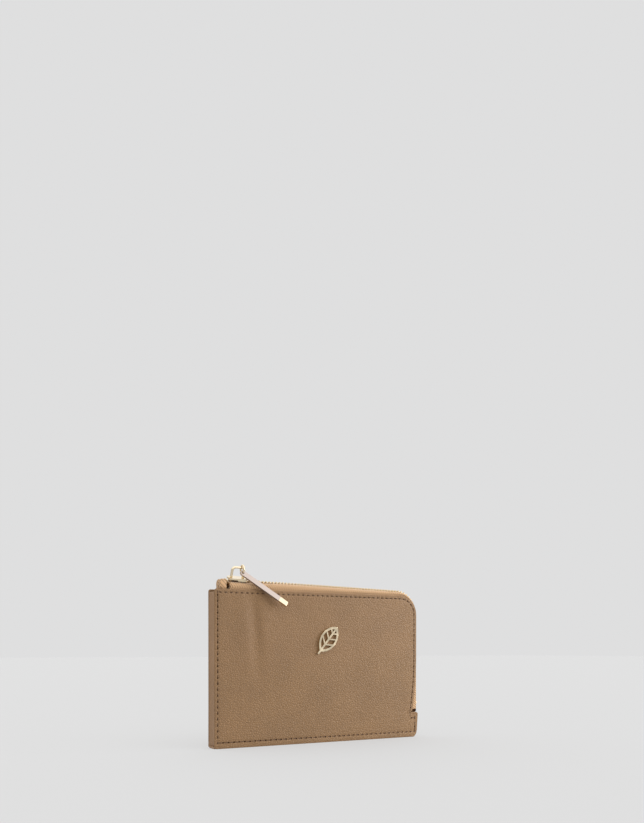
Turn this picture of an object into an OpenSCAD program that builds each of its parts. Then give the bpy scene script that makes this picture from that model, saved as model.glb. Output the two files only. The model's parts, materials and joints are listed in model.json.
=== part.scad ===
/* [Pouch] */
// Length of the two panels, from the spine to the right edge
panel_w = 140; // [112:1:168]
// Height of the two panels
panel_h = 90; // [75:1:108]
// Depth over both panels
depth = 9; // [8.8:0.1:12]
// Radius of the top corner that the zip turns round
corner_r = 12; // [10:0.5:15]
// Radius of the small corners
small_r = 1.5; // [0.5:0.1:2.5]

/* [Layers] */
// Thickness of the grained leather
leather_t = 1.1; // [0.8:0.05:1.3]
// Thickness of the stiffening boards and of the zip tape
board_t = 0.45; // [0.35:0.05:0.6]
// Thickness of the lining
lining_t = 0.3; // [0.2:0.05:0.4]
// Thickness of each card pocket
pocket_t = 0.3; // [0.2:0.05:0.4]
// Width of the card pockets
pocket_w = 92; // [88:1:100]
// Height of the tallest card pocket
pocket_h = 68; // [56:1:72]
// Step down from one card pocket to the next
pocket_step = 12; // [8:1:15]

/* [Zip end] */
// Height of the slot that the zip ends in
notch_z = 15.8; // [12:0.1:20]
// Height of the slot itself
notch_gap = 1.3; // [1:0.1:2]
// How far the right edge draws in above the slot
edge_bow = 3.2; // [1:0.1:4]
// How far the sewn tab stands out past the right edge
tab_out = 1.2; // [0.5:0.1:2]

/* [Mouth] */
// Where the line that the back flexes along meets the top edge, from the spine
flex_top = 24; // [22:1:40]
// Where that line meets the right edge, from the base
flex_side = 24; // [24:1:40]
// Gap along that line
flex_gap = 0.4; // [0.3:0.05:0.8]

/* [Zip] */
// How far the chain stands out of the panels at the corner
chain_rise = 2.6; // [2.5:0.1:3.5]
// Angle that the chain falls by, from the spine to the corner
chain_fall = 1.25; // [0:0.05:1.5]
// Pitch of the teeth along one row
tooth_pitch = 2.16; // [1.8:0.02:2.6]
// Height of a tooth
tooth_h = 1.9; // [1.6:0.1:2.1]
// Width of the tape inside the seam
tape_seam = 9; // [7:0.5:9.5]
// Length of the folded tape end beside the spine
tape_end_l = 5.5; // [4:0.5:7]

/* [Slider] */
// Length of the slider
slider_l = 12; // [10:0.5:14]
// Width of the slider at its shoulders
slider_w = 7.2; // [6.8:0.1:8]
// Thickness of each slider plate
plate_t = 0.9; // [0.7:0.05:1.2]
// Angle that the slider leans towards the front by
slider_roll = 20; // [0:1:25]
// Clear height under the bridge
bridge_gap = 5.2; // [4:0.1:6]
// Length of the bridge, between the middles of its legs
bridge_l = 7.2; // [5.8:0.1:8.8]
// Thickness of the bridge
bridge_t = 1.3; // [1:0.05:1.4]

/* [Puller] */
// Length of the bar, from the middle of its hole to its end
bar_l = 31.5; // [24:0.5:42]
// Width of the bar
bar_w = 3; // [2.8:0.1:3.8]
// Thickness of the bar
bar_t = 1.3; // [1.1:0.05:1.4]
// Length of the cap at the end of the bar
tip_l = 5.5; // [4:0.5:8]
// Angle of the bar below the chain
bar_drop = 34; // [28:1:60]
// Distance of the ring from the middle of the bridge
ring_shift = 2.1; // [0:0.1:2.3]
// Radius of the ring, to the middle of its wire
ring_r = 2.3; // [2.3:0.05:2.6]
// Thickness of the ring's wire
wire_d = 1; // [0.8:0.05:1]

/* [Emblem] */
// Length of the leaf
leaf_l = 19; // [14:0.5:24]
// Width of the leaf
leaf_w = 11; // [8:0.5:14]
// Width of the leaf's strokes
leaf_stroke = 1.2; // [0.9:0.1:1.6]
// Distance of the leaf's middle from the panel's left edge
leaf_x = 73.6; // [60:0.1:90]
// Distance of the leaf's middle below the panel's top edge
leaf_drop = 28; // [24:0.5:45]

/* [Stitching] */
// Pitch of the stitches
stitch_pitch = 3.3; // [2.5:0.1:4]
// Distance of the seam from the side and top edges
stitch_in = 2; // [1.6:0.1:3]
// Distance of the seam from the bottom edge
stitch_base = 3.4; // [2.5:0.1:4.5]

/* [Hidden] */
$fn = 48;
left_x = -panel_w / 2;
right_x = panel_w / 2;
face_y = depth / 2;
layer1_y = face_y - leather_t;
layer2_y = layer1_y - board_t;
layer3_y = layer2_y - lining_t;
corner_x = right_x - corner_r;
corner_z = panel_h - corner_r;
// Heights where the right edge starts to draw in and where the slot opens
bow_top = notch_z + 37;
notch_top = notch_z + notch_gap / 2;
notch_low = notch_z - notch_gap / 2;
notch_in = 1;
rim = 1.5;
eps = 0.01;

// Line that the back flexes along, and its angle below the top edge
flex_x = left_x + flex_top;
flex_turn = atan2(panel_h - flex_side, right_x - flex_x);

// Chain: straight along the top, round the corner, down the right side
chain_r = corner_r + chain_rise;
top_l = panel_w - corner_r - 4;
arc_l = chain_r * PI / 2;
side_l = corner_z - notch_top - 4;
tooth_t = tooth_pitch * 0.46;
tooth_in = 0.6;
tooth_out = 2.1;
tape_bulge = 0.45;
chain_l = top_l + arc_l + side_l;

// Slider: its middle, measured back along the chain from the corner
slider_back = top_l - tape_end_l - slider_l / 2;
tooth_first = top_l - slider_back + 0.4;
channel = tooth_h / 2 + 0.2;
shell_h = channel + plate_t;
flange_t = 0.6;
bridge_z = shell_h + bridge_gap + bridge_t / 2;

// Puller: the ring hangs on the bridge, and the bar leans clear of the slider's front shoulder
ring_off = ring_r - wire_d / 2 - bridge_t / 2 - 0.15;
hole_r = wire_d / 2 + 0.25;
pivot_off = ring_off + ring_r;
bridge_y = bridge_z * sin(slider_roll);
shoulder_in = slider_w / 2 - 0.4;
shoulder_y = shoulder_in * cos(slider_roll) + shell_h * sin(slider_roll);
shoulder_down = (bridge_z - shell_h) * cos(slider_roll) + shoulder_in * sin(slider_roll);
lean_y = shoulder_y + 0.35 - bridge_y;
puller_lean = atan2(lean_y, shoulder_down) + asin(bar_t / 2 / norm([lean_y, shoulder_down]));

// Emblem: a leaf standing on two pins
leaf_t = 1.4;
pin_r = 0.5;
pin_off = leaf_l * 0.3;
washer_r = 2.4;
leaf_z = panel_h - leaf_drop;
leaf_turn = 40;

stitch_l = stitch_pitch * 0.66;
stitch_w = 0.5;
stitch_h = 0.15;

leather = [0.60, 0.48, 0.35];
leather_dark = [0.50, 0.39, 0.29];
cloth = [0.88, 0.77, 0.61];
lining = [0.55, 0.46, 0.37];
card = [0.75, 0.70, 0.62];
gold = [0.90, 0.82, 0.62];
rosy = [0.86, 0.80, 0.76];
thread = [0.33, 0.23, 0.15];

// Right edge of the panels: straight, then drawn in towards the slot
function edge_x(z) = right_x - (z > bow_top ? 0 : edge_bow * pow((bow_top - z) / (bow_top - notch_top), 2));

// Outline of a panel in x and z, with the slot and the sewn tab
module panel_outline() {
    bow = [for (i = [0:8]) let (z = bow_top + (notch_top - bow_top) * i / 8) [edge_x(z), z]];
    polygon(concat([[left_x, small_r], [left_x, panel_h - small_r], [left_x + small_r, panel_h],
                    [corner_x, panel_h], [corner_x, corner_z], [right_x, corner_z]], bow,
                   [[edge_x(notch_top) - notch_in, notch_top], [edge_x(notch_top) - notch_in, notch_low],
                    [right_x + tab_out, notch_low - 0.8], [right_x + tab_out, notch_low - 3],
                    [right_x + 0.3, small_r + 1], [right_x - small_r, 0], [left_x + small_r, 0]]));
    translate([corner_x, corner_z]) circle(corner_r);
    for (z = [small_r, panel_h - small_r]) translate([left_x + small_r, z]) circle(small_r);
}

// Plain outline inside the seams, set in from the spine, the base and the top
module inner_outline(side_x, top_z, r) {
    hull_w = side_x - left_x - rim;
    translate([left_x + rim, rim]) square([hull_w - r, top_z - rim]);
    translate([left_x + rim, rim]) square([hull_w, top_z - rim - r]);
    translate([side_x - r, top_z - r]) circle(r);
}

// The corner of the back that flexes, grown by a gap
module flex_area(grow) {
    translate([flex_x, panel_h]) rotate(-flex_turn) translate([-panel_w, -grow]) square(2 * panel_w);
}

// A sheet of an x and z outline, from y to y + t
module sheet(y, t) {
    translate([0, y + t, 0]) rotate([90, 0, 0]) linear_extrude(t) children();
}

module board_outline() {
    inner_outline(right_x - tape_seam - 0.4, panel_h - tape_seam - 0.4, corner_r - tape_seam - 0.4);
}

module lining_outline() {
    inner_outline(edge_x(notch_top) - 0.3, panel_h - rim, corner_r - rim);
}

module leaf_pins(r) {
    for (s = [-1, 1])
        translate([left_x + leaf_x, 0, leaf_z]) rotate([0, leaf_turn, 0]) translate([0, 0, s * pin_off])
            rotate([90, 0, 0]) cylinder(h = 3 * face_y, r = r);
}

module front_panel() {
    color(leather) difference() {
        sheet(-face_y, leather_t) panel_outline();
        leaf_pins(pin_r + 0.05);
    }
}

module back_panel() {
    color(leather) sheet(layer1_y, leather_t) difference() {
        panel_outline();
        flex_area(flex_gap);
    }
}

module back_panel_flap() {
    color(leather) sheet(layer1_y, leather_t) intersection() {
        panel_outline();
        flex_area(0);
    }
}

// A strip that closes one side, drawn in by a shallow hollow
module side_strip(t, hollow) {
    r = (layer1_y * layer1_y + hollow * hollow) / (2 * hollow);
    difference() {
        translate([0, -layer1_y]) square([t, 2 * layer1_y]);
        translate([hollow - r, 0]) circle(r, $fn = 96);
    }
}

module spine_gusset() {
    color(leather_dark) translate([left_x + 0.2, 0, leather_t])
        linear_extrude(panel_h - rim - leather_t) side_strip(1.25, 0.7);
}

module bottom_gusset() {
    color(leather_dark) translate([left_x + 0.2, -layer1_y, 0])
        cube([edge_x(notch_top) - left_x + 1, 2 * layer1_y, leather_t]);
}

module corner_gusset() {
    color(leather_dark) translate([edge_x(notch_top) + 1.2, 0, leather_t])
        mirror([1, 0, 0]) linear_extrude(notch_low - leather_t - 0.5) side_strip(1.1, 0.5);
}

module front_board() {
    color(card) difference() {
        sheet(-layer1_y, board_t) board_outline();
        leaf_pins(washer_r + 0.2);
    }
}

module back_board() {
    color(card) sheet(layer2_y, board_t) difference() {
        board_outline();
        flex_area(flex_gap);
    }
}

module back_board_flap() {
    color(card) sheet(layer2_y, board_t) intersection() {
        board_outline();
        flex_area(0);
    }
}

module front_lining() {
    color(lining) sheet(-layer2_y, lining_t) lining_outline();
}

module back_lining() {
    color(lining) sheet(layer3_y, lining_t) difference() {
        lining_outline();
        flex_area(flex_gap);
    }
}

module back_lining_flap() {
    color(lining) sheet(layer3_y, lining_t) intersection() {
        lining_outline();
        flex_area(0);
    }
}

// Card pocket number i, counted from the wall
module card_pocket(i) {
    color(lining) sheet(-layer3_y + i * pocket_t, pocket_t)
        translate([-pocket_w / 2 - 4, rim]) square([pocket_w, pocket_h - i * pocket_step]);
}

// Frame of the chain's top run: its origin at the corner, x back to the spine's side
module top_frame() {
    translate([corner_x, 0, panel_h + chain_rise]) rotate([0, chain_fall, 0]) children();
}

// Sections below have x = distance out from the panel's edge and y = depth
module sweep_top(from, to) {
    top_frame() translate([-from, 0, -chain_rise]) rotate([0, -90, 0]) linear_extrude(to - from) children();
}

module sweep_corner() {
    translate([corner_x, 0, corner_z]) rotate([90, 0, 0]) rotate_extrude(angle = 90, $fn = 96)
        translate([corner_r, 0]) mirror([0, 1]) children();
}

module sweep_side() {
    translate([right_x, 0, corner_z - side_l]) linear_extrude(side_l) children();
}

// Section of one tape: flat in the seam, a bulge outside it, flat into the teeth
module tape_section() {
    polygon([[-tape_seam, layer2_y], [0, layer2_y], [0.8, layer2_y + tape_bulge],
             [chain_rise - 0.9, layer2_y + tape_bulge], [chain_rise - board_t / 2, layer2_y - 0.2],
             [chain_rise - board_t / 2, tooth_out + 0.1], [chain_rise + board_t / 2, tooth_out + 0.1],
             [chain_rise + board_t / 2, layer2_y + 0.1], [chain_rise - 0.7, layer1_y + tape_bulge],
             [0.6, layer1_y + tape_bulge], [0, layer1_y], [-tape_seam, layer1_y]]);
}

// Space that the slider takes up where it is parked
module slider_space() {
    slider_frame() rotate([slider_roll, 0, 0])
        translate([-slider_l / 2 - 0.3, -slider_w / 2 - 0.3, -shell_h - 0.25])
            cube([slider_l + 0.6, slider_w + 0.6, 2 * shell_h + 0.5]);
}

// Tape end, folded down beside the spine
module tape_fold() {
    fold_r = 2.2;
    top_frame() translate([-top_l, layer2_y, 0]) rotate([90, 0, 0]) linear_extrude(layer2_y - 0.3) {
        translate([fold_r, -1.6]) circle(fold_r);
        translate([fold_r, -3.8]) square([tape_end_l - 1.4 - fold_r, 2 * fold_r]);
        translate([0, -3.8]) square([fold_r + 1, fold_r]);
    }
}

// Tapes: the front one is the back one's mirror, cut back where the slider is parked
module front_tape() {
    color(cloth) difference() {
        mirror([0, 1, 0]) {
            sweep_top(0, top_l - tape_end_l) tape_section();
            sweep_corner() tape_section();
            sweep_side() tape_section();
            tape_fold();
        }
        slider_space();
    }
}

module back_tape_end() {
    color(cloth) tape_fold();
}

module back_tape() {
    color(cloth) difference() {
        union() {
            sweep_top(0, top_l - tape_end_l - 0.3) tape_section();
            sweep_corner() tape_section();
            sweep_side() tape_section();
        }
        slider_space();
    }
}

// Frame at distance s along the chain: x along it, y across it, z outwards
module at_chain(s) {
    turn = 180 / PI * (s - top_l) / chain_r;
    if (s < top_l) top_frame() translate([s - top_l, 0, 0]) children();
    else if (s < top_l + arc_l)
        translate([corner_x, 0, corner_z]) rotate([0, turn, 0]) translate([0, 0, chain_r]) children();
    else translate([right_x + chain_rise, 0, corner_z - (s - top_l - arc_l)]) rotate([0, 90, 0]) children();
}

// The lean of the chain fades out past the slider
function chain_roll(s) = slider_roll * max(0, min(1, 1 - (s - tooth_first - slider_l / 2) / 20));

// Teeth of one row; side is -1 at the front and 1 at the back
module tooth_row(side) {
    first = tooth_first + (side < 0 ? 0 : tooth_pitch / 2);
    for (s = [first : tooth_pitch : chain_l - 2.5 - tooth_t])
        at_chain(s) rotate([chain_roll(s), 0, 0]) mirror([0, side < 0 ? 1 : 0, 0])
            rotate([90, 0, 90]) linear_extrude(tooth_t)
                polygon([[-tooth_in, -0.5], [0.3, -tooth_h / 2], [tooth_out, -tooth_h / 2 + 0.2],
                         [tooth_out, tooth_h / 2 - 0.2], [0.3, tooth_h / 2], [-tooth_in, 0.5]]);
}

module front_teeth() {
    color(gold) tooth_row(-1);
}

module back_teeth() {
    color(gold) tooth_row(1);
}

// Two clips beside the slider's shoulders, one on each tape
module top_stops() {
    color(gold) for (side = [-1, 1])
        top_frame() rotate([slider_roll, 0, 0])
            translate([-slider_back - slider_l / 2 - 0.9, side * 1.3 - 0.7, -0.8]) cube([0.8, 1.4, 1.6]);
}

module bottom_stop() {
    color(gold) at_chain(chain_l - 2) translate([0, -1.9, -1.1]) cube([1.8, 3.8, 2.2]);
}

// Frame of the parked slider
module slider_frame() {
    top_frame() translate([-slider_back, 0, 0]) children();
}

// Outline of a plate: round shoulders towards the spine, narrower behind
module plate_outline() {
    r = slider_w / 2;
    translate([r - slider_l / 2, 0]) circle(r);
    polygon([[r - slider_l / 2, -r], [slider_l / 2 - 1, -r + 0.9], [slider_l / 2, -r + 1.6],
             [slider_l / 2, r - 1.6], [slider_l / 2 - 1, r - 0.9], [r - slider_l / 2, r]]);
}

module slider_body() {
    flange_l = slider_l / 2 - 1;
    flange_h = channel - board_t / 2 - 0.25;
    color(gold) slider_frame() rotate([slider_roll, 0, 0]) {
        for (z = [-shell_h, channel]) translate([0, 0, z]) linear_extrude(plate_t) plate_outline();
        translate([-slider_l / 2, 0, -channel - eps]) linear_extrude(2 * channel + 2 * eps)
            polygon([[0.6, 0], [2.2, -0.8], [4.4, 0], [2.2, 0.8]]);
        for (side = [-1, 1]) for (z = [-channel - eps, channel - flange_h + eps])
            translate([-0.5, side * (slider_w / 2 - 0.85) - flange_t / 2, z])
                cube([flange_l, flange_t, flange_h]);
    }
}

module slider_bridge() {
    half = bridge_l / 2;
    color(gold) slider_frame() rotate([slider_roll, 0, 0]) {
        for (x = [-half, half]) translate([x, 0, shell_h])
            cylinder(h = bridge_z - shell_h, r = bridge_t / 2);
        for (x = [-half, half]) translate([x, 0, bridge_z]) sphere(bridge_t / 2);
        translate([-half, 0, bridge_z]) rotate([0, 90, 0]) cylinder(h = bridge_l, r = bridge_t / 2);
    }
}

// Frame of the puller: origin on the bridge, -z down along the lean
module puller_frame() {
    slider_frame() translate([ring_shift, -bridge_z * sin(slider_roll), bridge_z * cos(slider_roll)])
        rotate([-puller_lean, 0, 0]) children();
}

module puller_ring() {
    color(gold) puller_frame() translate([0, 0, -ring_off]) rotate([0, 90, 0])
        rotate_extrude($fn = 96) translate([ring_r, 0]) circle(wire_d / 2);
}

// Frame of the bar: x along it, from the middle of its hole
module bar_frame() {
    puller_frame() translate([0, 0, -pivot_off]) rotate([0, bar_drop, 0]) children();
}

module puller_bar() {
    color(rosy) bar_frame() rotate([90, 0, 0]) translate([0, 0, -bar_t / 2]) linear_extrude(bar_t)
        difference() {
            union() {
                circle(bar_w / 2);
                translate([0, -bar_w / 2]) square([bar_l - tip_l, bar_w]);
            }
            circle(hole_r);
        }
}

module puller_tip() {
    color(gold) bar_frame() translate([bar_l - tip_l, -bar_t / 2, -bar_w / 2]) cube([tip_l, bar_t, bar_w]);
}

// A leaf shape between two arcs
module leaf_shape(l, w) {
    r = (l * l + w * w) / (4 * w);
    intersection() {
        translate([r - w / 2, 0]) circle(r, $fn = 96);
        translate([w / 2 - r, 0]) circle(r, $fn = 96);
    }
}

module emblem() {
    color(gold) {
        translate([left_x + leaf_x, -face_y, leaf_z]) rotate([0, leaf_turn, 0]) rotate([90, 0, 0])
            linear_extrude(leaf_t) {
                difference() {
                    leaf_shape(leaf_l, leaf_w);
                    leaf_shape(leaf_l - 3 * leaf_stroke, leaf_w - 2 * leaf_stroke);
                }
                translate([-leaf_stroke / 2, -leaf_l / 2 - 2]) square([leaf_stroke, leaf_l]);
                intersection() {
                    leaf_shape(leaf_l - leaf_stroke, leaf_w - leaf_stroke);
                    for (y = [-leaf_l * 0.22, 0, leaf_l * 0.22]) for (side = [-1, 1])
                        translate([0, y]) rotate(side < 0 ? 145 : 35) translate([0, -leaf_stroke / 3])
                            square([leaf_w, leaf_stroke * 0.7]);
                }
            }
        intersection() {
            leaf_pins(pin_r);
            translate([left_x, -face_y - eps, 0]) cube([panel_w, face_y + eps - layer2_y - 0.05, panel_h]);
        }
    }
}

module emblem_washers() {
    color(gold) difference() {
        intersection() {
            leaf_pins(washer_r);
            translate([left_x, -layer1_y, 0]) cube([panel_w, board_t, panel_h]);
        }
        leaf_pins(pin_r + 0.05);
    }
}

// One stitch on the front at [x, z], turned by an angle
module stitch(x, z, turn) {
    translate([x, -face_y - stitch_h, z]) rotate([0, turn, 0])
        translate([-stitch_l / 2, 0, -stitch_w / 2]) cube([stitch_l, stitch_h, stitch_w]);
}

// Stitches from point a to point b, spread evenly
module stitch_run(a, b) {
    n = max(1, round(norm(b - a) / stitch_pitch));
    turn = atan2(a[1] - b[1], b[0] - a[0]);
    for (i = [0 : n - 1]) let (p = a + (b - a) * (i + 0.5) / n) stitch(p[0], p[1], turn);
}

// The seam down the spine, along the base and up round the slot
module seam_base() {
    slot_x = edge_x(notch_top) - stitch_in;
    tab_x = right_x + tab_out - stitch_in - 0.4;
    tab_top = notch_low - 3;
    stitch_run([left_x + stitch_in, panel_h - stitch_in - 1], [left_x + stitch_in, stitch_base + 1]);
    stitch_run([left_x + stitch_in, stitch_base], [tab_x - 1.1, stitch_base]);
    stitch_run([tab_x, stitch_base + 1], [tab_x, tab_top]);
    stitch_run([tab_x - 1, tab_top], [slot_x + 1, tab_top]);
    stitch_run([slot_x, tab_top], [slot_x, notch_top]);
}

// The seam beside the zip's side run, where it draws in, between two heights
module seam_bow(low, high) {
    n = round((bow_top - notch_top) / stitch_pitch);
    for (i = [0 : n - 1]) let (z = notch_top + (bow_top - notch_top) * (i + 0.5) / n)
        if (z > low && z < high)
            stitch(edge_x(z) - stitch_in, z, 90 + atan2(edge_x(z + 1) - edge_x(z - 1), 2));
}

// The seam up the straight part of the right edge and round the corner
module seam_corner() {
    r = corner_r - stitch_in;
    n = round(r * PI / 2 / stitch_pitch);
    stitch_run([right_x - stitch_in, bow_top], [right_x - stitch_in, corner_z]);
    for (i = [0 : n - 1]) let (a = 90 * (i + 0.5) / n) stitch(corner_x + r * sin(a), corner_z + r * cos(a), a);
}

module seam_top(from, to) {
    stitch_run([from, panel_h - stitch_in], [to, panel_h - stitch_in]);
}

module front_stitching() {
    color(thread) {
        seam_base();
        seam_bow(0, panel_h);
        seam_corner();
        seam_top(left_x + stitch_in + 1, corner_x);
    }
}

module back_stitching() {
    color(thread) mirror([0, 1, 0]) {
        seam_base();
        seam_bow(0, flex_side - stitch_l);
        seam_top(left_x + stitch_in + 1, flex_x - 1);
    }
}

module back_stitching_flap() {
    color(thread) mirror([0, 1, 0]) {
        seam_bow(flex_side + stitch_l, panel_h);
        seam_corner();
        seam_top(flex_x + stitch_l * 2, corner_x);
    }
}

front_panel();
back_panel();
back_panel_flap();
spine_gusset();
bottom_gusset();
corner_gusset();
front_board();
back_board();
back_board_flap();
front_lining();
back_lining();
back_lining_flap();
card_pocket(0);  // card_pocket_tall
card_pocket(1);  // card_pocket_middle
card_pocket(2);  // card_pocket_short
front_tape();
back_tape_end();
back_tape();
front_teeth();
back_teeth();
top_stops();
bottom_stop();
slider_body();
slider_bridge();
puller_ring();
puller_bar();
puller_tip();
emblem();
emblem_washers();
front_stitching();
back_stitching();
back_stitching_flap();
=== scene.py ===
import json
import math

import bmesh
import bpy
from mathutils import Matrix, Vector, noise

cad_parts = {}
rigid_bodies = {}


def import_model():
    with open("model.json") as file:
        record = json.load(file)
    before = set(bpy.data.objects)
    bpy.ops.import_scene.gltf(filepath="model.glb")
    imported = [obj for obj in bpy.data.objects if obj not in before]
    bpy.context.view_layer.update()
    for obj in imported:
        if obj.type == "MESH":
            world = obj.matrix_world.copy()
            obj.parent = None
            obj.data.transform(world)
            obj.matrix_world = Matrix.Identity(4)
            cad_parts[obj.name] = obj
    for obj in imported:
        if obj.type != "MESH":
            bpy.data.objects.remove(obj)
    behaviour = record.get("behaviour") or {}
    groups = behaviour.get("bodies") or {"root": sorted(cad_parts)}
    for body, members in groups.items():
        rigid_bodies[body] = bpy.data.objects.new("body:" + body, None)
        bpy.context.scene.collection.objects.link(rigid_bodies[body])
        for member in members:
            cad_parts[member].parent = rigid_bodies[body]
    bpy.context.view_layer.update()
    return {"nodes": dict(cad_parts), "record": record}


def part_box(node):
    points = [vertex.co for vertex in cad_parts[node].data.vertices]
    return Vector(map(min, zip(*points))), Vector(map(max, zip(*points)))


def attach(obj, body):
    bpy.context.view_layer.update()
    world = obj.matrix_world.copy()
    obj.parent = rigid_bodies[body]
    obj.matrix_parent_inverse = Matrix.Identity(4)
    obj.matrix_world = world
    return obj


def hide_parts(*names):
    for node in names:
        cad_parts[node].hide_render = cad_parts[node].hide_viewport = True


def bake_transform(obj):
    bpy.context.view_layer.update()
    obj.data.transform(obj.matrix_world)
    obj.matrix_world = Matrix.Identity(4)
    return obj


bl_info = {
    "name": "Zippered pouch",
    "version": (1, 0, 0),
    "blender": (4, 5, 0),
    "location": "3D View > Sidebar > Pouch",
    "description": "Builds a grained leather card pouch with an L-shaped zip on its CAD frame",
    "category": "Object",
}

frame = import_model()
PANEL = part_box("front_panel")
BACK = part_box("back_panel")
MM = 0.001

# Places that come from the frame
LEFT = PANEL[0][0]
TOP = PANEL[1][2]
FACE_Y = BACK[1][1]
LEATHER = PANEL[1][1] - PANEL[0][1]
LINING_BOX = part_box("front_lining")
BOARD_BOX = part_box("front_board")
SLIDER_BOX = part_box("slider_body")
TAPE_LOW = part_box("front_tape")[0][2]
JOINTS = {j["name"]: j for j in frame["record"]["behaviour"]["joints"]}
SLIDE_AXIS = Vector(JOINTS["zip_slide"]["axis"])
FALL = -SLIDE_AXIS.z / SLIDE_AXIS.x

# Sizes of the zip that no box gives
TAPE_TUCK = 2.4 * MM
# Length of the tape's end that gets a near-black finish: painted shade for the end that lies in
# the slot's shade
TAPE_PAINTED_SHADE = 1.5 * MM
FIRST_TOOTH = 0.9 * MM  # past the slider's middle
LAST_TOOTH = 2.6 * MM  # before the foot of the CAD tape
LEAN = math.radians(20)
LEAN_FADE = 20 * MM

# Angles between faces past which an edge is rounded
SHEET_EDGE = math.radians(50)
FOLD_EDGE = math.radians(60)
METAL_EDGE = math.radians(35)


class PouchShape(bpy.types.PropertyGroup):
    """Sizes of the leather, the seams and the zip that the CAD boxes don't give."""

    corner_r: bpy.props.FloatProperty(
        name="Corner radius", description="Radius of the corner that the zip turns round",
        default=12 * MM, unit="LENGTH")
    width: bpy.props.FloatProperty(
        name="Panel width", description="Width of a panel without its sewn tab",
        default=-2 * LEFT, unit="LENGTH")
    notch_z: bpy.props.FloatProperty(
        name="Slot height", description="Height of the slot that the zip ends in",
        default=15.8 * MM, unit="LENGTH")
    notch_gap: bpy.props.FloatProperty(
        name="Slot gap", description="Height of the slot itself", default=1.3 * MM, unit="LENGTH")
    bow: bpy.props.FloatProperty(
        name="Bow", description="How far the right edge draws in above the slot",
        default=3.2 * MM, unit="LENGTH")
    bow_l: bpy.props.FloatProperty(
        name="Bow length", description="Height over which the right edge draws in",
        default=36.4 * MM, unit="LENGTH")
    seam_in: bpy.props.FloatProperty(
        name="Seam inset", description="Distance of the seam from the side and top edges",
        default=2 * MM, unit="LENGTH")
    seam_base: bpy.props.FloatProperty(
        name="Base seam", description="Distance of the seam from the bottom edge",
        default=3.4 * MM, unit="LENGTH")
    stitch_pitch: bpy.props.FloatProperty(
        name="Stitch pitch", description="Distance from one stitch to the next",
        default=3.3 * MM, unit="LENGTH")
    tooth_pitch: bpy.props.FloatProperty(
        name="Tooth pitch", description="Distance from one tooth to the next in a row",
        default=2.16 * MM, unit="LENGTH")
    chain_rise: bpy.props.FloatProperty(
        name="Chain rise", description="How far the chain stands out of the panels at the corner",
        default=2.6 * MM, unit="LENGTH")
    side_rise: bpy.props.FloatProperty(
        name="Side rise", description="How far the chain stands out of the panels down the side",
        default=0.9 * MM, unit="LENGTH")
    tape_t: bpy.props.FloatProperty(
        name="Tape thickness", description="Thickness of the zip tape",
        default=0.45 * MM, unit="LENGTH")
    dent: bpy.props.FloatProperty(
        name="Dent", description="Depth of the soft hollow below the puller",
        default=0.9 * MM, unit="LENGTH")


class PouchColours(bpy.types.PropertyGroup):
    """Colours of the finishes."""

    leather: bpy.props.FloatVectorProperty(
        name="Leather", description="Grained leather", subtype="COLOR", size=3,
        default=(0.262, 0.143, 0.058))
    gusset: bpy.props.FloatVectorProperty(
        name="Gusset", description="Smooth leather between the panels", subtype="COLOR", size=3,
        default=(0.35, 0.208, 0.112))
    tape: bpy.props.FloatVectorProperty(
        name="Tape", description="Woven zip tape", subtype="COLOR", size=3,
        default=(0.66, 0.40, 0.205))
    lining: bpy.props.FloatVectorProperty(
        name="Lining", description="Woven lining", subtype="COLOR", size=3,
        default=(0.30, 0.20, 0.13))
    gold: bpy.props.FloatVectorProperty(
        name="Gold", description="Pale gold plate", subtype="COLOR", size=3,
        default=(0.80, 0.67, 0.47))
    tooth: bpy.props.FloatVectorProperty(
        name="Teeth", description="Darker plate of the zip's teeth", subtype="COLOR", size=3,
        default=(0.66, 0.50, 0.30))
    rosy: bpy.props.FloatVectorProperty(
        name="Puller bar", description="Rosy gold plate of the bar", subtype="COLOR", size=3,
        default=(0.50, 0.425, 0.385))
    thread: bpy.props.FloatVectorProperty(
        name="Thread", description="Waxed sewing thread", subtype="COLOR", size=3,
        default=(0.10, 0.045, 0.018))
    floor: bpy.props.FloatVectorProperty(
        name="Floor", description="Pale studio floor", subtype="COLOR", size=3,
        default=(0.19, 0.19, 0.19))


def shape():
    return bpy.context.scene.pouch_shape


def colours():
    return bpy.context.scene.pouch_colours


# ---------------------------------------------------------------- materials


class Tree:
    """A short way to add nodes to a material or group and to join them."""

    def __init__(self, tree):
        self.tree = tree

    def add(self, kind, settings=None, **inputs):
        node = self.tree.nodes.new(kind)
        for key, value in (settings or {}).items():
            setattr(node, key, value)
        for key, value in inputs.items():
            self.put(node, key.replace("_", " "), value)
        return node

    def put(self, node, key, value):
        socket = node.inputs[int(key[1:])] if key[1:].isdigit() else node.inputs[key]
        if isinstance(value, bpy.types.NodeSocket):
            self.tree.links.new(value, socket)
        else:
            socket.default_value = value

    def math(self, operation, a, b=0.0):
        return self.add("ShaderNodeMath", {"operation": operation}, i0=a, i1=b).outputs[0]

    def object_place(self):
        return self.add("ShaderNodeTexCoord").outputs["Object"]

    def bump(self, surface, height, distance, strength):
        node = self.add("ShaderNodeBump", Strength=strength, Distance=distance, Height=height)
        self.put(surface, "Normal", node.outputs[0])

    def ramp(self, value, low, high, to_low=0.0, to_high=1.0):
        node = self.add("ShaderNodeMapRange", {"interpolation_type": "SMOOTHSTEP"},
                        i0=value, i1=low, i2=high, i3=to_low, i4=to_high)
        return node.outputs[0]

    def mix(self, factor, a, b):
        node = self.add("ShaderNodeMix", {"data_type": "RGBA"}, i0=factor)
        self.put(node, "i6", a)
        self.put(node, "i7", b)
        return node.outputs[2]


def rgba(colour, gain=1.0):
    return tuple(min(1.0, c * gain) for c in colour) + (1.0,)


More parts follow.
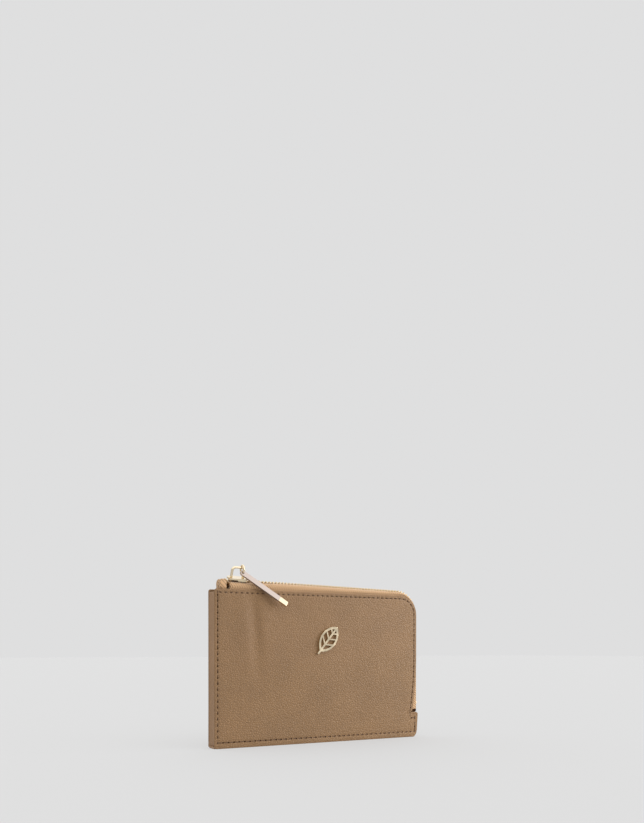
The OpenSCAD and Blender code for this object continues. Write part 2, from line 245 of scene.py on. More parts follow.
def new_material(name):
    material = bpy.data.materials.new(name)
    material.use_nodes = True
    material.node_tree.nodes.clear()
    tree = Tree(material.node_tree)
    surface = tree.add("ShaderNodeBsdfPrincipled")
    out = tree.add("ShaderNodeOutputMaterial")
    material.node_tree.links.new(surface.outputs[0], out.inputs[0])
    return material, tree, surface


def grain_group():
    """Pebbled grain: a height, a mask of the creases and a slow unevenness."""
    group = bpy.data.node_groups.new("Pebbled grain", "ShaderNodeTree")
    group.interface.new_socket("Scale", in_out="INPUT", socket_type="NodeSocketFloat")
    for name in ("Height", "Crease", "Uneven"):
        group.interface.new_socket(name, in_out="OUTPUT", socket_type="NodeSocketFloat")
    tree = Tree(group)
    size = tree.add("NodeGroupInput").outputs[0]
    place = tree.object_place()
    warp = tree.add("ShaderNodeTexNoise", Vector=place, Scale=420.0, Detail=1.0)
    shift = tree.add("ShaderNodeVectorMath", {"operation": "SCALE"}, i0=warp.outputs["Color"])
    tree.put(shift, "Scale", 0.0006)
    moved = tree.add("ShaderNodeVectorMath", {"operation": "ADD"}, i0=place, i1=shift.outputs[0])
    edge = tree.add("ShaderNodeTexVoronoi", {"feature": "DISTANCE_TO_EDGE"},
                    Vector=moved.outputs[0], Scale=size)
    dome = tree.add("ShaderNodeTexVoronoi", {"feature": "SMOOTH_F1"},
                    Vector=moved.outputs[0], Scale=size)
    fine = tree.add("ShaderNodeTexNoise", Vector=place, Scale=5200.0, Detail=2.0)
    slow = tree.add("ShaderNodeTexNoise", Vector=place, Scale=46.0, Detail=3.0)
    crease = tree.ramp(edge.outputs[0], 0.0, 0.16, 1.0, 0.0)
    height = tree.math("SUBTRACT", 1.0, dome.outputs[0])
    height = tree.math("SUBTRACT", height, tree.math("MULTIPLY", crease, 0.55))
    height = tree.math("ADD", height, tree.math("MULTIPLY", fine.outputs[0], 0.16))
    out = tree.add("NodeGroupOutput")
    for i, value in enumerate((height, crease, slow.outputs[0])):
        group.links.new(value, out.inputs[i])
    return group


def leather_material(name, colour, size, depth, rough):
    """Leather with its grain, darker creases and a slow change of tone."""
    material, tree, surface = new_material(name)
    group = bpy.data.node_groups.get("Pebbled grain") or grain_group()
    grain = tree.add("ShaderNodeGroup", {"node_tree": group})
    grain.inputs["Scale"].default_value = size
    tone = tree.ramp(grain.outputs["Uneven"], 0.3, 0.7)
    base = tree.mix(tone, rgba(colour, 0.94), rgba(colour, 1.06))
    base = tree.mix(tree.math("MULTIPLY", grain.outputs["Crease"], 0.4), base, rgba(colour, 0.55))
    tree.put(surface, "Base Color", base)
    dull = tree.ramp(grain.outputs["Crease"], 0.0, 1.0, rough, rough + 0.2)
    tree.put(surface, "Roughness", dull)
    surface.inputs["Specular IOR Level"].default_value = 0.5
    tree.bump(surface, grain.outputs["Height"], depth, 0.9)
    return material


def tape_material(name, colour):
    """Herringbone tape: UV holds millimetres along and across the tape."""
    stripe, slope, rib_pitch, pick_pitch = 3.6, 0.8, 1.5, 0.6
    material, tree, surface = new_material(name)
    place = tree.add("ShaderNodeUVMap", {"uv_map": "UVMap"}).outputs[0]
    parts = tree.add("ShaderNodeSeparateXYZ", i0=place)
    along, across = parts.outputs[0], parts.outputs[1]
    zig = tree.math("PINGPONG", across, stripe)
    slant = tree.math("ADD", along, tree.math("MULTIPLY", zig, slope))
    rib = tree.math("SINE", tree.math("MULTIPLY", slant, 2 * math.pi / rib_pitch))
    pick = tree.math("SINE", tree.math("MULTIPLY", across, 2 * math.pi / pick_pitch))
    weave = tree.math("ADD", tree.math("MULTIPLY", rib, 0.7), tree.math("MULTIPLY", pick, 0.3))
    lift = tree.ramp(weave, -0.9, 0.9)
    fuzz = tree.add("ShaderNodeTexNoise", Vector=place, Scale=3.0, Detail=3.0)
    base = tree.mix(lift, rgba(colour, 0.42), rgba(colour, 1.2))
    base = tree.mix(tree.ramp(fuzz.outputs[0], 0.4, 0.7, 0.0, 0.35), base, rgba(colour, 0.75))
    tree.put(surface, "Base Color", base)
    surface.inputs["Roughness"].default_value = 0.7
    surface.inputs["Sheen Weight"].default_value = 0.6
    surface.inputs["Sheen Roughness"].default_value = 0.35
    surface.inputs["Sheen Tint"].default_value = (1.0, 0.92, 0.80, 1)
    tree.bump(surface, lift, 0.0003, 0.9)
    return material


def cloth_material(name, colour):
    """Plain weave of warp and weft on the inside of the pouch."""
    thread_pitch = 0.5 * MM
    material, tree, surface = new_material(name)
    parts = tree.add("ShaderNodeSeparateXYZ", i0=tree.object_place())
    warp = tree.math("SINE", tree.math("MULTIPLY", parts.outputs[0], 2 * math.pi / thread_pitch))
    weft = tree.math("SINE", tree.math("MULTIPLY", parts.outputs[2], 2 * math.pi / thread_pitch))
    weave = tree.ramp(tree.math("MULTIPLY", warp, weft), -0.8, 0.8)
    tree.put(surface, "Base Color", tree.mix(weave, rgba(colour, 0.75), rgba(colour, 1.1)))
    surface.inputs["Roughness"].default_value = 0.85
    tree.bump(surface, weave, 0.0001, 0.5)
    return material


def metal_material(name, colour, rough):
    """Plated metal with faint polishing marks and slightly duller patches."""
    material, tree, surface = new_material(name)
    place = tree.object_place()
    marks = tree.add("ShaderNodeTexNoise", Vector=place, Scale=9000.0, Detail=2.0)
    dull = tree.add("ShaderNodeTexNoise", Vector=place, Scale=320.0, Detail=2.0)
    surface.inputs["Metallic"].default_value = 1.0
    base = tree.mix(dull.outputs[0], rgba(colour, 0.93), rgba(colour, 1.03))
    tree.put(surface, "Base Color", base)
    tree.put(surface, "Roughness", tree.ramp(dull.outputs[0], 0.35, 0.75, rough, rough + 0.1))
    tree.bump(surface, marks.outputs[0], 0.00003, 0.12)
    return material


def thread_material(name, colour):
    """Twisted thread."""
    material, tree, surface = new_material(name)
    place = tree.object_place()
    ply = tree.add("ShaderNodeTexWave", {"bands_direction": "DIAGONAL"},
                   Vector=place, Scale=1500.0)
    tree.put(surface, "Base Color", tree.mix(ply.outputs[1], rgba(colour, 0.7), rgba(colour, 1.2)))
    surface.inputs["Roughness"].default_value = 0.6
    tree.bump(surface, ply.outputs[1], 0.00005, 0.5)
    return material


def painted_shade_material(name):
    """Painted shade: the dark inside of a needle hole, and the tape's end where it lies in the
    slot's shade.
    """
    material, tree, surface = new_material(name)
    place = tree.object_place()
    spot = tree.add("ShaderNodeTexNoise", Vector=place, Scale=2500.0)
    dark, less_dark = (0.018, 0.007, 0.003, 1), (0.045, 0.020, 0.009, 1)
    tree.put(surface, "Base Color", tree.mix(spot.outputs[0], dark, less_dark))
    surface.inputs["Roughness"].default_value = 0.9
    surface.inputs["Specular IOR Level"].default_value = 0.05
    return material


def floor_material(colour):
    """Matt floor that glows a little, so that its tone is even."""
    material, tree, surface = new_material("Studio floor")
    place = tree.object_place()
    tooth = tree.add("ShaderNodeTexNoise", Vector=place, Scale=900.0, Detail=2.0)
    base = tree.mix(tooth.outputs[0], rgba(colour, 0.995), rgba(colour, 1.005))
    tree.put(surface, "Base Color", base)
    surface.inputs["Roughness"].default_value = 0.9
    surface.inputs["Specular IOR Level"].default_value = 0.1
    surface.inputs["Emission Color"].default_value = (1.0, 1.0, 1.0, 1)
    surface.inputs["Emission Strength"].default_value = 0.48
    return material


def material(name):
    """The finish of that name, made when it is first asked for."""
    found = bpy.data.materials.get(name)
    if found:
        return found
    c = colours()
    makers = {
        "Grained leather": lambda n: leather_material(n, c.leather, 1000.0, 0.00023, 0.48),
        "Gusset leather": lambda n: leather_material(n, c.gusset, 2200.0, 0.00008, 0.45),
        "Zip tape": lambda n: tape_material(n, c.tape),
        "Lining cloth": lambda n: cloth_material(n, c.lining),
        "Pocket leather": lambda n: leather_material(n, c.lining, 1900.0, 0.0001, 0.5),
        "Gold plate": lambda n: metal_material(n, c.gold, 0.16),
        "Tooth metal": lambda n: metal_material(n, c.tooth, 0.28),
        "Rosy plate": lambda n: metal_material(n, c.rosy, 0.42),
        "Sewing thread": lambda n: thread_material(n, c.thread),
        "Needle hole": painted_shade_material,
        "Painted shade tape end": painted_shade_material,
        "Board": lambda n: cloth_material(n, (0.55, 0.48, 0.38)),
        "Studio floor": lambda n: floor_material(c.floor),
    }
    return makers[name](name)


# ------------------------------------------------------------ shared shapes


def finish(obj, body=None, nodes=(), bends=False):
    """Hides the CAD nodes that a finished piece stands for, then hangs it on its body or, when
    bends is set, bakes its place into its mesh.
    """
    if nodes:
        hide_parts(*nodes)
    if bends:
        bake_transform(obj)
    else:
        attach(obj, body)


def share(value):
    """The value, held between 0 and 1."""
    return max(0.0, min(1.0, value))


def link(name, data):
    """Puts a mesh, curve, light or camera in the scene under a name."""
    obj = bpy.data.objects.new(name, data)
    bpy.context.scene.collection.objects.link(obj)
    return obj


def smooth_mesh(mesh):
    mesh.polygons.foreach_set("use_smooth", [True] * len(mesh.polygons))


def mesh_from(bm, name):
    """Turns a bmesh into a mesh and frees it."""
    mesh = bpy.data.meshes.new(name)
    bm.to_mesh(mesh)
    bm.free()
    return mesh


def make_object(name, verts, faces, material_name, smooth=True):
    mesh = bpy.data.meshes.new(name)
    mesh.from_pydata([tuple(v) for v in verts], [], faces)
    mesh.materials.append(material(material_name))
    mesh.update()
    if smooth:
        smooth_mesh(mesh)
    return link(name, mesh)


def grid_faces(rows, columns, flipped, closed=False):
    """Faces of points laid row by row; closed joins the last column to the first."""
    faces = []
    for j in range(rows - 1):
        for i in range(columns if closed else columns - 1):
            k = (i + 1) % columns
            low, high = j * columns, (j + 1) * columns
            quad = (low + i, low + k, high + k, high + i)
            faces.append(quad[::-1] if flipped else quad)
    return faces


def modify(obj, kind, **settings):
    modifier = obj.modifiers.new(kind.title(), kind)
    for key, value in settings.items():
        setattr(modifier, key, value)


def round_edges(obj, width, segments, angle):
    modify(obj, "BEVEL", width=width, segments=segments, limit_method="ANGLE", angle_limit=angle)


def settle(obj):
    """Turns the evaluated piece into a plain mesh without modifiers."""
    graph = bpy.context.evaluated_depsgraph_get()
    mesh = bpy.data.meshes.new_from_object(obj.evaluated_get(graph))
    obj.modifiers.clear()
    old = obj.data
    obj.data = mesh
    bpy.data.meshes.remove(old)
    return obj


def spaced(low, high, edge, fine, coarse):
    """Values from low to high, closer together near both ends."""
    near = [low + fine * i for i in range(int(edge / fine))]
    far = [high - fine * i for i in range(int(edge / fine))][::-1]
    count = max(1, round((far[0] - near[-1]) / coarse))
    middle = [near[-1] + (far[0] - near[-1]) * i / count for i in range(1, count)]
    return near + middle + far


def notch_edges():
    """Heights of the slot's lower and upper edge."""
    s = shape()
    return s.notch_z - s.notch_gap / 2, s.notch_z + s.notch_gap / 2


def right_edge(z):
    """Right edge of a panel: tab, slot, the stretch that draws in, straight, corner."""
    s = shape()
    right = LEFT + s.width
    notch_low, notch_top = notch_edges()
    corner_z = TOP - s.corner_r
    if z > corner_z:
        return right - s.corner_r + math.sqrt(max(0.0, s.corner_r**2 - (z - corner_z) ** 2))
    if z >= notch_top:
        part = max(0.0, (notch_top + s.bow_l - z) / s.bow_l)
        return right - s.bow * part * part
    if z >= notch_low:
        return right - s.bow - 1.0 * MM
    out = PANEL[1][0] - right
    round_off = max(0.0, 1 - z / (4 * MM))
    return right + out * (0.25 + 0.75 * share(z / notch_low)) - 2.2 * MM * round_off**2


def edge_distance(x, z):
    """Distances from a point of a panel to its nearest side or top edge and to its base."""
    s = shape()
    corner = Vector((LEFT + s.width - s.corner_r, TOP - s.corner_r))
    if x > corner.x and z > corner.y:
        outer = s.corner_r - (Vector((x, z)) - corner).length
    else:
        outer = min(TOP - z, right_edge(max(z, s.notch_z + s.notch_gap)) - x)
    return max(0.0, min(outer, x - LEFT)), z


def panel_relief(x, z, dent):
    """How far the leather stands out of its flat face: crowned, with a seam pressed in."""
    groove_deep, groove_wide = 0.16 * MM, 0.75 * MM
    crown_high, crown_wide = 0.22 * MM, 7 * MM
    turn_deep, turn_wide = 0.28 * MM, 0.45 * MM
    dent_in, dent_slope, dent_down, dent_tall = 23.5 * MM, 0.08, 20 * MM, 26 * MM
    valley_wide, swell_wide = 3.6, 10
    wave_high = 0.22 * MM
    s = shape()
    side, base = edge_distance(x, z)
    groove = 0.0
    for distance, seam in ((side, s.seam_in), (base, s.seam_base)):
        groove += groove_deep * math.exp(-(((distance - seam) / groove_wide) ** 2))
    crown = crown_high * (1 - math.exp(-min(side, base) / crown_wide))
    turn_in = turn_deep * math.exp(-min(side, base) / turn_wide)
    middle = LEFT + dent_in + (TOP - z) * dent_slope
    high = math.exp(-(((TOP - dent_down - z) / dent_tall) ** 2))
    across = (x - middle) / MM
    valley = math.exp(-((across / valley_wide) ** 2))
    swell = math.exp(-((across / swell_wide) ** 2))
    hollow = dent * high * (1.6 * valley - 0.6 * swell)
    slow = wave_high * noise.noise(Vector((x * 38, z * 30, 2.3 if dent else 7.1)))
    return crown - groove - turn_in - hollow * (1 - math.exp(-side / (4 * MM))) + slow


def leather_sheet(name, side, dent):
    """One leather panel as a grid that follows its outline, with a wall and rounded edges."""
    s = shape()
    notch_low, notch_top = notch_edges()
    rows = [z for z in spaced(0.0, TOP, edge=6 * MM, fine=0.5 * MM, coarse=1.6 * MM)
            if min(abs(z - notch_top), abs(z - notch_low)) > 0.35 * MM]
    rows += [notch_top, notch_top - 0.02 * MM, notch_low, notch_low - 0.02 * MM]
    rows += [TOP - 0.06 * MM, TOP - 0.2 * MM]
    rows.sort()
    across = spaced(0.0, 1.0, edge=6 * MM / s.width, fine=0.5 * MM / s.width,
                    coarse=1.7 * MM / s.width)
    verts = []
    small_r = 1.4 * MM
    for z in rows:
        past = max(0.0, small_r - z, z - TOP + small_r)
        cut = small_r - math.sqrt(max(0.0, small_r**2 - past**2))
        left, right = LEFT + cut, right_edge(z)
        for u in across:
            x = left + (right - left) * u
            verts.append((x, side * (FACE_Y + panel_relief(x, z, dent)), z))
    faces = grid_faces(len(rows), len(across), flipped=side > 0)
    obj = make_object(name, verts, faces, "Grained leather")
    modify(obj, "SOLIDIFY", thickness=LEATHER * 0.94, offset=-1.0)
    round_edges(obj, 0.22 * MM, 3, SHEET_EDGE)
    return settle(obj)


def plain_sheet(name, box, corner, y, thickness, finish_name):
    """An inner sheet from the base to the top of its box, with one round corner."""
    step = 3 * MM
    low, high = Vector(box[0]), Vector(box[1])
    rows = spaced(low.z, high.z, edge=3 * MM, fine=0.75 * MM, coarse=step)
    count = max(2, round((high.x - low.x) / step))
    verts = []
    for z in rows:
        over = max(0.0, z - (high.z - corner))
        cut = corner - math.sqrt(max(0.0, corner**2 - over**2))
        for i in range(count + 1):
            verts.append((low.x + (high.x - cut - low.x) * i / count, y, z))
    faces = grid_faces(len(rows), count + 1, flipped=False)
    obj = make_object(name, verts, faces, finish_name)
    modify(obj, "SOLIDIFY", thickness=thickness, offset=0.0)
    round_edges(obj, thickness * 0.3, 2, SHEET_EDGE)
    return settle(obj)


def path_point(gone):
    """A point on the panels' edge, the way out of it and the rise of the chain, after a length."""
    s = shape()
    corner = Vector((LEFT + s.width - s.corner_r, 0, TOP - s.corner_r))
    chain_r = s.corner_r + s.chain_rise
    top_l = corner.x - LEFT
    arc_l = chain_r * math.pi / 2
    if gone < top_l:
        x = LEFT + gone
        return Vector((x, 0, TOP)), Vector((0, 0, 1)), s.chain_rise + (corner.x - x) * FALL
    if gone < top_l + arc_l:
        a = (gone - top_l) / chain_r
        out = Vector((math.sin(a), 0, math.cos(a)))
        rise = s.chain_rise + (s.side_rise - s.chain_rise) * math.sin(a)
        return corner + out * s.corner_r, out, rise
    down = gone - top_l - arc_l
    return Vector((corner.x + s.corner_r, 0, corner.z - down)), Vector((1, 0, 0)), s.side_rise


def path_length():
    """Length of that path down to the foot of the CAD tape."""
    s = shape()
    arc = (s.corner_r + s.chain_rise) * math.pi / 2
    return s.width - s.corner_r + arc + (TOP - s.corner_r - TAPE_LOW)


def lean_at(x):
    """The chain leans to the front inside the slider and rights itself past it."""
    return LEAN * share(1 - (x - SLIDER_BOX[1][0]) / LEAN_FADE)


def smooth_curve(points, steps):
    """Catmull-Rom points through a short list."""
    ends = [points[0] * 2 - points[1]] + points + [points[-1] * 2 - points[-2]]
    out = []
    for i in range(1, len(ends) - 2):
        a, b, c, d = ends[i - 1 : i + 3]
        for k in range(steps):
            t = k / steps
            out.append(0.5 * ((2 * b) + (c - a) * t + (2 * a - 5 * b + 4 * c - d) * t * t
                              + (3 * b - a - 3 * c + d) * t**3))
    return out + [points[-1]]


def tape_strip(name, side, start, slot_end):
    """One zip tape: in the seam, out in a soft bulge, and in to the teeth."""
    bulge_out, wave_out, slider_out = 0.42 * MM, 0.28 * MM, 0.15 * MM
    slider_at, slider_reach = 15 * MM, 16 * MM
    tuck_ramp, tuck_ahead = 0.4 * MM, 3.2  # the end draws in 3.2 ramps before it stops
    hem_y, tooth_y, hem_down = 2.15 * MM, 1.15 * MM, 0.5 * MM
    tape_t = shape().tape_t
    seam_y = FACE_Y - LEATHER - tape_t / 2 - 0.02 * MM
    steps = 150
    verts, uvs = [], []
    for step in range(steps + 1):
        gone = start + (slot_end - start) * step / steps
        edge, out, rise = path_point(gone)
        edge = edge - out * TAPE_TUCK * share((gone - slot_end) / tuck_ramp + tuck_ahead)
        wave = wave_out * noise.noise(Vector((gone * 90, side * 3.0, 0.4)))
        near_slider = max(0.0, 1 - abs(gone - slider_at) / slider_reach)
        bulge = (bulge_out + wave) * max(0.0, out.z) + slider_out * near_slider
        lean = lean_at(edge.x) if out.z > 0.99 else 0.0
        hem = [(rise + math.sin(lean) * y - hem_down, math.cos(lean) * y)
               for y in (side * hem_y, side * tooth_y)]
        low = rise * 0.36
        shoulder = (low + (hem[0][0] - low) * 0.62,
                    side * (seam_y + bulge * 0.75 - 0.4 * MM * out.x))
        seam = [(level, side * seam_y) for level in (-6 * MM, -2 * MM, 0.2 * MM)]
        section = seam + [(low, side * (seam_y + bulge)), shoulder] + hem
        curve = smooth_curve([Vector(point) for point in section], 4)
        length = 0.0
        for k, p in enumerate(curve):
            length += (p - curve[k - 1]).length if k else 0.0
            verts.append(edge + out * p.x + Vector((0, p.y, 0)))
            uvs.append((gone / MM, length / MM))
    faces = grid_faces(steps + 1, len(curve), flipped=side < 0)
    obj = make_object(name, verts, faces, "Zip tape")
    layer = obj.data.uv_layers.new(name="UVMap")
    for loop in obj.data.loops:
        layer.data[loop.index].uv = uvs[loop.vertex_index]
    # The tape's last stretch gets a near-black finish: painted shade where the end lies in the
    # slot's shade.
    obj.data.materials.append(material("Painted shade tape end"))
    for polygon in obj.data.polygons:
        if uvs[polygon.vertices[0]][0] * MM > slot_end - TAPE_PAINTED_SHADE:
            polygon.material_index = 1
    modify(obj, "SOLIDIFY", thickness=tape_t, offset=0.0)
    return settle(obj)


def folded_end(name, side):
    """The end of a tape, turned down and rolled beside the spine."""
    low, high = (Vector(c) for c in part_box("back_tape_end"))
    low.z = min(low.z, TOP - 1.2 * MM)
    middle = (low + high) / 2
    half_x, half_z = (high.x - low.x) / 2, (high.z - low.z) / 2
    turns, across = 28, 7
    verts = []
    for j in range(across):
        y = low.y + (high.y - low.y) * j / (across - 1)
        pinch = 1 - 0.12 * abs(2 * j / (across - 1) - 1) ** 3
        for i in range(turns):
            a = 2 * math.pi * i / turns
            c, n = math.cos(a), math.sin(a)
            square = (abs(c) ** 3 + abs(n) ** 3) ** (-1 / 3)
            crease = 1 - 0.1 * math.exp(-(((a - 4.2) / 0.25) ** 2))
            rough = 1 + 0.05 * noise.noise(Vector((c * 3, y * 700, n * 3)))
            scale = square * pinch * crease * rough
            verts.append((middle.x + half_x * c * scale, side * y, middle.z + half_z * n * scale))
    faces = grid_faces(across, turns, flipped=side < 0, closed=True)
    first = tuple(range(turns))
    last = tuple(range((across - 1) * turns, across * turns))
    faces += [first[::-1], last] if side > 0 else [first, last[::-1]]
    obj = make_object(name, verts, faces, "Zip tape")
    layer = obj.data.uv_layers.new(name="UVMap")
    for loop in obj.data.loops:
        co = obj.data.vertices[loop.vertex_index].co
        layer.data[loop.index].uv = (abs(co.y) / MM, (co.x + co.z) / MM)
    recalculate(obj)
    round_edges(obj, 0.3 * MM, 3, FOLD_EDGE)
    return settle(obj)


def recalculate(obj):
    """Merges doubles and points every face outwards."""
    bm = bmesh.new()
    bm.from_mesh(obj.data)
    bmesh.ops.remove_doubles(bm, verts=bm.verts, dist=1e-6)
    bmesh.ops.recalc_face_normals(bm, faces=bm.faces)
    bm.to_mesh(obj.data)
    bm.free()
    return obj


def run_tree():
    """Places a shape at an even pitch along a curve; it leans to the front near the slider."""
    found = bpy.data.node_groups.get("Run along a path")
    if found:
        return found
    group = bpy.data.node_groups.new("Run along a path", "GeometryNodeTree")
    face = group.interface
    for name, kind in (("Geometry", "Geometry"), ("Pitch", "Float"), ("Shape", "Object"),
                       ("Lean", "Float"), ("Lean from", "Float"), ("Wander", "Float"),
                       ("Finish", "Material")):
        face.new_socket(name, in_out="INPUT", socket_type="NodeSocket" + kind)
    face.new_socket("Geometry", in_out="OUTPUT", socket_type="NodeSocketGeometry")
    tree = Tree(group)
    given = tree.add("NodeGroupInput").outputs
    points = tree.add("GeometryNodeCurveToPoints", {"mode": "LENGTH"},
                      Curve=given["Geometry"], Length=given["Pitch"])
    info = tree.add("GeometryNodeObjectInfo", Object=given["Shape"])
    turn = tree.add("FunctionNodeAlignRotationToVector", {"axis": "X", "pivot_axis": "Y"},
                    Vector=points.outputs["Tangent"])
    place = tree.add("ShaderNodeSeparateXYZ", i0=tree.add("GeometryNodeInputPosition").outputs[0])
    reach = tree.math("ADD", given["Lean from"], LEAN_FADE)
    fade = tree.add("ShaderNodeMapRange", i0=place.outputs[0], i1=given["Lean from"], i2=reach,
                    i3=given["Lean"], i4=0.0)
    chance = tree.add("FunctionNodeRandomValue", {"data_type": "FLOAT"}, i2=-1.0, i3=1.0, Seed=7)
    sway = tree.math("MULTIPLY", chance.outputs[1], given["Wander"])
    angles = tree.add("ShaderNodeCombineXYZ", i0=fade.outputs[0], i1=sway)
    local = tree.add("FunctionNodeEulerToRotation", i0=angles.outputs[0])
    rotate = tree.add("FunctionNodeRotateRotation", {"rotation_space": "LOCAL"},
                      i0=turn.outputs[0], i1=local.outputs[0])
    copies = tree.add("GeometryNodeInstanceOnPoints", Points=points.outputs["Points"],
                      Instance=info.outputs["Geometry"], Rotation=rotate.outputs[0])
    real = tree.add("GeometryNodeRealizeInstances", i0=copies.outputs[0])
    paint = tree.add("GeometryNodeSetMaterial", Geometry=real.outputs[0], Material=given["Finish"])
    tree.add("NodeGroupOutput", i0=paint.outputs[0])
    return group


def along(name, runs, pitch, pattern, finish_name, lean=0.0, wander=0.0):
    """A piece made of copies of a pattern along open runs of points."""
    curve = bpy.data.curves.new(name + "_path", "CURVE")
    curve.dimensions = "3D"
    for points in runs:
        spline = curve.splines.new("POLY")
        spline.points.add(len(points) - 1)
        for point, co in zip(spline.points, points):
            point.co = (*co, 1.0)
    path = link(name + "_path", curve)
    modifier = path.modifiers.new("Run", "NODES")
    modifier.node_group = run_tree()
    sockets = {i.name: i.identifier for i in modifier.node_group.interface.items_tree
               if i.in_out == "INPUT"}
    values = {"Pitch": pitch, "Shape": pattern, "Lean": lean,
              "Lean from": SLIDER_BOX[1][0], "Wander": wander, "Finish": material(finish_name)}
    for key, value in values.items():
        modifier[sockets[key]] = value
    graph = bpy.context.evaluated_depsgraph_get()
    mesh = bpy.data.meshes.new_from_object(path.evaluated_get(graph))
    mesh.name = name
    bpy.data.objects.remove(path)
    smooth_mesh(mesh)
    return link(name, mesh)


def pattern_shape(name, size, rings, segments, power=1.0, taper=None):
    """A small rounded form used as a pattern: size is its half lengths."""
    bm = bmesh.new()
    bmesh.ops.create_uvsphere(bm, u_segments=segments, v_segments=rings, radius=1.0,
                              matrix=Matrix.Rotation(math.pi / 2, 4, "Y"))
    for vert in bm.verts:
        co = vert.co
        for i in range(3):
            co[i] = math.copysign(abs(co[i]) ** power, co[i]) * size[i]
        if taper:
            co.z *= taper(co)
    return link(name, mesh_from(bm, name))


def seam_runs(side, dent):
    """The seam's runs: down the spine, along the base, round the tab and up to the mouth's end."""
    s = shape()
    right = LEFT + s.width
    notch_low, notch_top = notch_edges()
    tab_x = PANEL[1][0] - s.seam_in - 0.4 * MM
    slot_x = right_edge(notch_top) - s.seam_in
    corner = Vector((right - s.corner_r, TOP - s.corner_r))
    radius = s.corner_r - s.seam_in

    def line(a, b):
        steps = max(2, round((Vector(b) - Vector(a)).length / MM))
        return [Vector(a).lerp(Vector(b), i / steps) for i in range(steps + 1)]

    top = TOP - s.seam_in
    left = LEFT + s.seam_in
    first_gap, tab_low = 1.6 * MM, notch_low - 3 * MM
    upright = [Vector((right_edge(z) - s.seam_in, z))
               for z in (notch_top + s.bow_l * i / 30 for i in range(31))]
    turn = [corner + Vector((math.cos(a), math.sin(a))) * radius
            for a in (math.pi / 2 * i / 24 for i in range(25))]
    runs = [
        line((left, top), (left, s.seam_base)),
        line((left + first_gap, s.seam_base), (tab_x, s.seam_base)),
        line((tab_x, s.seam_base + first_gap), (tab_x, tab_low)),
        line((tab_x - 1.2 * MM, tab_low), (slot_x, tab_low)),
        line((slot_x, notch_low - 1.4 * MM), (slot_x, notch_top)) + upright[1:]
        + turn + line(turn[-1], (left + first_gap, top))[1:],
    ]
    lift = 0.02 * MM
    return [[(p.x, side * (FACE_Y + panel_relief(p.x, p.y, dent) + lift), p.y) for p in run]
            for run in runs]


def shift_runs(runs, by):
    """The same runs started a little later, so that holes fall between stitches."""
    out = []
    for run in runs:
        points = [Vector(p) for p in run]
        gone = 0.0
        while len(points) > 2 and gone < by:
            step = (points[1] - points[0]).length
            if gone + step > by:
                points[0] = points[0].lerp(points[1], (by - gone) / step)
                break
            gone += step
            points.pop(0)
        out.append([tuple(p) for p in points])
    return out


def metal_copy(name, node, finish_name, bevel):
    """A bevelled copy of a CAD piece, with its small facets merged."""
    source = frame["nodes"][node]
    bm = bmesh.new()
    bm.from_mesh(source.data)
    bm.transform(source.matrix_world)
    bmesh.ops.remove_doubles(bm, verts=bm.verts, dist=2e-6)
    bmesh.ops.dissolve_limit(bm, angle_limit=math.radians(1.5), verts=bm.verts, edges=bm.edges)
    mesh = mesh_from(bm, name)
    mesh.materials.clear()
    mesh.materials.append(material(finish_name))
    smooth_mesh(mesh)
    for polygon in mesh.polygons:
        polygon.material_index = 0
    obj = link(name, mesh)
    if bevel:
        round_edges(obj, bevel, 3, METAL_EDGE)
    modify(obj, "WEIGHTED_NORMAL", keep_sharp=True)
    return settle(obj)


def fillet_bar(name, low, high, finish_name, bevel):
    """A rounded block from one corner to the other, built as a bevelled mesh."""
    bm = bmesh.new()
    bmesh.ops.create_cube(bm, size=1.0)
    for vert in bm.verts:
        for i in range(3):
            vert.co[i] = low[i] if vert.co[i] < 0 else high[i]
    bmesh.ops.bevel(bm, geom=bm.edges[:], offset=bevel, segments=3, affect="EDGES", profile=0.5)
    mesh = mesh_from(bm, name)
    mesh.materials.append(material(finish_name))
    smooth_mesh(mesh)
    return link(name, mesh)


# ---------------------------------------------------------------- operators


class POUCH_OT_panels(bpy.types.Operator):
    """Build the front and the back leather."""

    bl_idname = "pouch.panels"
    bl_label = "Leather panels"

    def execute(self, context):
        dent = shape().dent
        front = leather_sheet("front_leather", -1, dent)
        finish(front, "pouch", ["front_panel"])
        back = leather_sheet("back_leather", 1, 0.0)
        finish(back, nodes=["back_panel", "back_panel_flap"], bends=True)
        return {"FINISHED"}


def gusset_strip(name, node, faces_right, hollow):
    """A strip between the panels, hollowed along its middle; it faces left or right."""
    low, high = (Vector(c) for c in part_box(node))
    sign = 1 if faces_right else -1
    outer = high.x if faces_right else low.x
    steps, rows = 14, 60
    verts = []
    for j in range(rows + 1):
        z = low.z + (high.z - low.z) * j / rows
        sway = 0.12 * MM * noise.noise(Vector((0.7, float(faces_right), z * 70)))
        for i in range(steps + 1):
            t = 2 * i / steps - 1
            inset = hollow * (1 - t * t) + sway * (1 - t**4)
            verts.append((outer - sign * inset, low.y + (high.y - low.y) * i / steps, z))
    faces = grid_faces(rows + 1, steps + 1, flipped=not faces_right)
    obj = make_object(name, verts, faces, "Gusset leather")
    modify(obj, "SOLIDIFY", thickness=0.5 * MM, offset=-1.0)
    round_edges(obj, 0.1 * MM, 2, SHEET_EDGE)
    return settle(obj)


class POUCH_OT_gussets(bpy.types.Operator):
    """Build the strips that join the two panels at the spine, the base and under the zip's end."""

    bl_idname = "pouch.gussets"
    bl_label = "Gussets"

    def execute(self, context):
        spine = gusset_strip("spine_strip", "spine_gusset", False, 1.3 * MM)
        finish(spine, "pouch", ["spine_gusset"])
        corner = gusset_strip("corner_strip", "corner_gusset", True, 0.6 * MM)
        finish(corner, "pouch", ["corner_gusset"])
        low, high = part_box("bottom_gusset")
        base = fillet_bar("base_strip", low, high, "Gusset leather", 0.25 * MM)
        finish(base, "pouch", ["bottom_gusset"])
        return {"FINISHED"}


